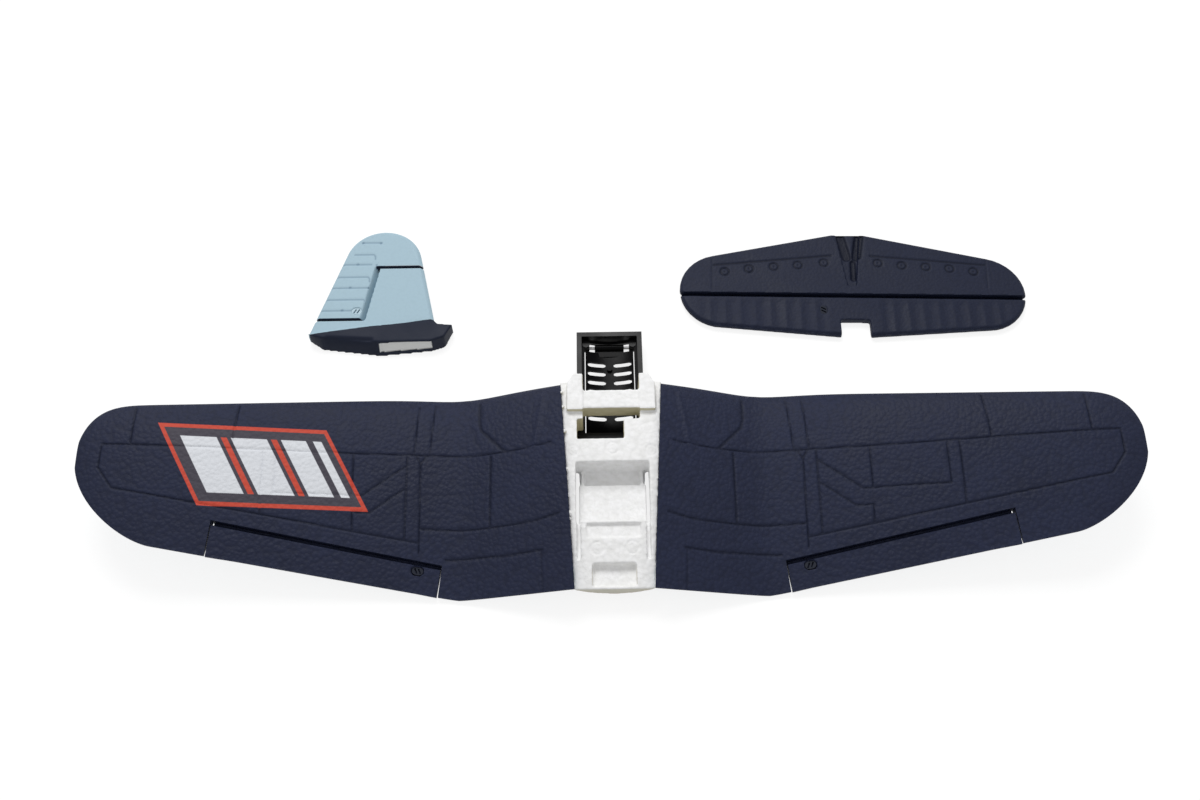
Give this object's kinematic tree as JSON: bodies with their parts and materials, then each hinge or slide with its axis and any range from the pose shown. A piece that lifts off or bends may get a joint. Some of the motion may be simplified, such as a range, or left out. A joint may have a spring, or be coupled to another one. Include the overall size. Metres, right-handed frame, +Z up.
{
  "type": "model aircraft wing set",
  "caption": "Foam wing set of a small model aircraft: cranked wing with ailerons and vented battery bay door, tailplane with elevator, and fin with rudder.",
  "frame": {"origin": "on the floor, in the middle of the whole set's plan", "axes": "+X along the wing's span to its right tip, +Y forward through the leading edge, +Z up from the floor"},
  "size_m": [0.4002, 0.1667, 0.0271],
  "materials": {
    "bare_foam": "pebbled white foam",
    "navy_foam": "painted pebbled foam, satin",
    "navy_tail_foam": "painted foam, satin",
    "pale_blue_foam": "painted foam, satin",
    "black_plastic": "moulded, satin",
    "steel_pin": "drawn wire",
    "joiner_rod": "pultruded rod",
    "hinge_film": "thin film",
    "socket_plastic": "moulded"
  },
  "bodies": {
    "wing": {"battery_bay_frame": "black_plastic", "door_hinge_pin": "steel_pin", "elevator_hinge_film": "hinge_film", "fin": "pale_blue_foam", "left_aileron_hinge_film": "hinge_film", "left_wing_panel": "navy_foam", "right_aileron_hinge_film": "hinge_film", "right_wing_panel": "navy_foam", "rudder_hinge_film": "hinge_film", "tailplane": "navy_tail_foam", "wing_centre_block": "bare_foam", "wing_joiner": "joiner_rod"},
    "left_aileron": {"left_aileron": "navy_foam", "left_aileron_horn_socket": "socket_plastic"},
    "right_aileron": {"right_aileron": "navy_foam", "right_aileron_horn_socket": "socket_plastic"},
    "elevator": {"elevator": "navy_tail_foam", "elevator_horn_socket": "socket_plastic"},
    "rudder": {"rudder": "pale_blue_foam", "rudder_horn_socket": "socket_plastic"},
    "battery_door": {"battery_door": "black_plastic"}
  },
  "joints": [
    {"name": "left_aileron_hinge", "type": "hinge", "parent": "wing", "child": "left_aileron", "pos_m": [-0.10675, -0.06373, 0.00825], "axis": [-0.9737, 0.1626, 0.1595], "range_deg": [-20, 20], "stiffness_Nm_per_rad": 0.001},
    {"name": "right_aileron_hinge", "type": "hinge", "parent": "wing", "child": "right_aileron", "pos_m": [0.10675, -0.06373, 0.00825], "axis": [-0.9737, -0.1626, -0.1595], "range_deg": [-20, 20], "stiffness_Nm_per_rad": 0.001},
    {"name": "elevator_hinge", "type": "hinge", "parent": "wing", "child": "elevator", "pos_m": [0.10396, 0.0482, 0.00045], "axis": [-0.9995, 0.0314, 0], "range_deg": [-20, 20], "stiffness_Nm_per_rad": 0.004},
    {"name": "rudder_hinge", "type": "hinge", "parent": "wing", "child": "rudder", "pos_m": [-0.0997, 0.0515, 0.00165], "axis": [0.1742, 0.9847, 0], "range_deg": [-22, 22], "stiffness_Nm_per_rad": 0.003},
    {"name": "battery_door_hinge", "type": "hinge", "parent": "wing", "child": "battery_door", "pos_m": [0, 0.0241, 0.0023], "axis": [1, 0, 0], "range_deg": [0, 95]}
  ]
}
